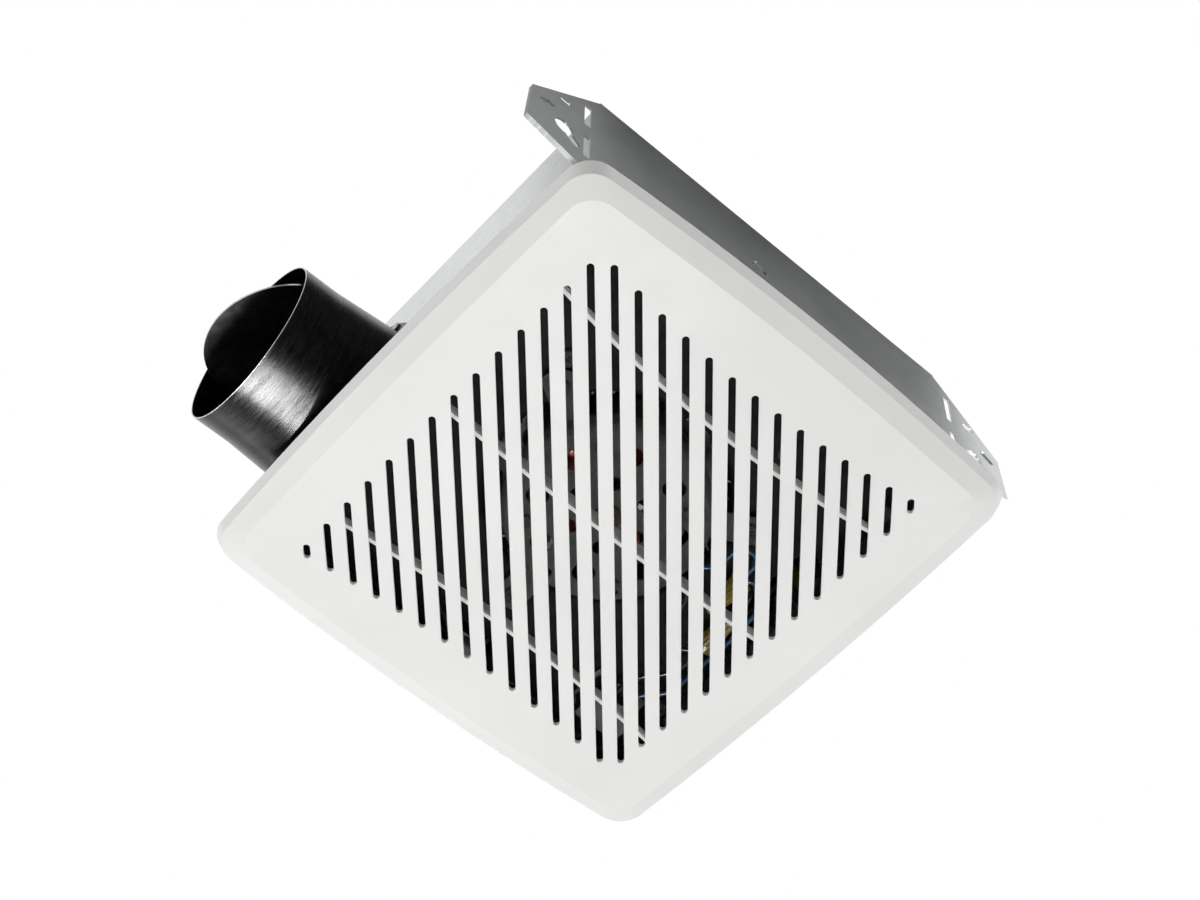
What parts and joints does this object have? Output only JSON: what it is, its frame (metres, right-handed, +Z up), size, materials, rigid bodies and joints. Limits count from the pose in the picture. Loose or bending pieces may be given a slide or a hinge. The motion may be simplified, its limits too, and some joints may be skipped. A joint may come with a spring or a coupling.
{
  "type": "bathroom exhaust fan",
  "caption": "Ceiling exhaust fan: slotted moulded grille on springs, galvanised box with nailing ears, duct collar with a damper flap, motor and centrifugal wheel.",
  "frame": {"origin": "middle of the grille in the plane of its rim, where the finished ceiling lies", "axes": "+Z up into the ceiling; X along the grille's shorter sides, -X towards the duct collar; -Y towards the wall with the two nailing ears"},
  "size_m": [0.3031, 0.2504, 0.1106],
  "materials": {
    "grille_white": "moulded, satin",
    "galvanised": "galvanised sheet",
    "dark_steel": "brushed, dark",
    "zinc": "zinc plated",
    "seal_rubber": "matt",
    "black_plastic": "matt, moulded",
    "grey_plastic": "matt, moulded",
    "core_steel": "stacked laminations",
    "copper": "enamelled winding",
    "bobbin_white": "moulded",
    "bronze": "sintered",
    "aluminium": "cast",
    "polished_steel": "ground",
    "spring_steel": "drawn wire",
    "wire_blue": "extruded",
    "wire_black": "extruded",
    "wire_white": "extruded",
    "wire_green": "extruded",
    "nut_yellow": "moulded"
  },
  "bodies": {
    "housing": {"housing_shell": "galvanised", "housing_top": "galvanised", "housing_rivets": "zinc", "duct_collar": "dark_steel", "collar_rivets": "zinc", "damper_bracket": "dark_steel", "damper_pin": "zinc", "outlet_seal": "seal_rubber", "blower_plate": "galvanised", "plate_screws": "zinc", "blower_scroll": "galvanised", "scroll_screws": "zinc", "motor_cup": "galvanised", "cup_grommets": "seal_rubber", "cup_screws": "zinc", "lower_bearing": "bronze", "upper_bearing": "bronze", "bearing_bridge": "galvanised", "stator_core": "core_steel", "field_coils": "copper", "coil_bobbins": "bobbin_white", "spacer_sleeves": "zinc", "motor_bolts": "zinc", "motor_nuts": "zinc", "receptacle": "black_plastic", "motor_plug": "black_plastic", "cable_bushing": "black_plastic", "wire_nuts": "nut_yellow", "ground_screw": "zinc", "ground_lead": "wire_green", "motor_lead_blue": "wire_blue", "motor_lead_black": "wire_black", "plug_lead_blue": "wire_blue", "plug_lead_black": "wire_black", "receptacle_lead_white": "wire_white", "receptacle_lead_black": "wire_black"},
    "rotor": {"motor_shaft": "polished_steel", "motor_rotor": "aluminium", "thrust_washers": "black_plastic", "blower_wheel": "grey_plastic", "shaft_clip": "zinc"},
    "flap": {"damper_flap": "dark_steel"},
    "cover": {"grille": "grille_white", "spring_pins": "zinc", "spring_coils": "spring_steel"},
    "leg_north_east": {"spring_leg_north_east": "spring_steel"},
    "leg_north_west": {"spring_leg_north_west": "spring_steel"},
    "leg_south_east": {"spring_leg_south_east": "spring_steel"},
    "leg_south_west": {"spring_leg_south_west": "spring_steel"}
  },
  "joints": [
    {"name": "wheel_spin", "type": "hinge", "parent": "housing", "child": "rotor", "pos_m": [0.003, 0.003, 0.05], "axis": [0, 0, 1], "continuous": true},
    {"name": "damper_swing", "type": "hinge", "parent": "housing", "child": "flap", "pos_m": [-0.1017, 0.058, 0.075], "axis": [0, 1, 0], "range_deg": [-68, 0]},
    {"name": "cover_slide", "type": "slide", "parent": "housing", "child": "cover", "axis": [0, 0, -1], "range_m": [0, 0.045]},
    {"name": "leg_north_east_fold", "type": "hinge", "parent": "cover", "child": "leg_north_east", "pos_m": [0, 0.097, 0.002], "axis": [0, 1, 0], "range_deg": [-18, 0]},
    {"name": "leg_north_west_fold", "type": "hinge", "parent": "cover", "child": "leg_north_west", "pos_m": [0, 0.097, 0.002], "axis": [0, 1, 0], "range_deg": [0, 18]},
    {"name": "leg_south_east_fold", "type": "hinge", "parent": "cover", "child": "leg_south_east", "pos_m": [0, -0.097, 0.002], "axis": [0, 1, 0], "range_deg": [-18, 0]},
    {"name": "leg_south_west_fold", "type": "hinge", "parent": "cover", "child": "leg_south_west", "pos_m": [0, -0.097, 0.002], "axis": [0, 1, 0], "range_deg": [0, 18]}
  ],
  "couplings": [
    {"joint": "leg_north_east_fold", "follows": "cover_slide", "rad_per_m": -6.95},
    {"joint": "leg_north_west_fold", "follows": "cover_slide", "rad_per_m": 6.95},
    {"joint": "leg_south_east_fold", "follows": "cover_slide", "rad_per_m": -6.95},
    {"joint": "leg_south_west_fold", "follows": "cover_slide", "rad_per_m": 6.95}
  ]
}
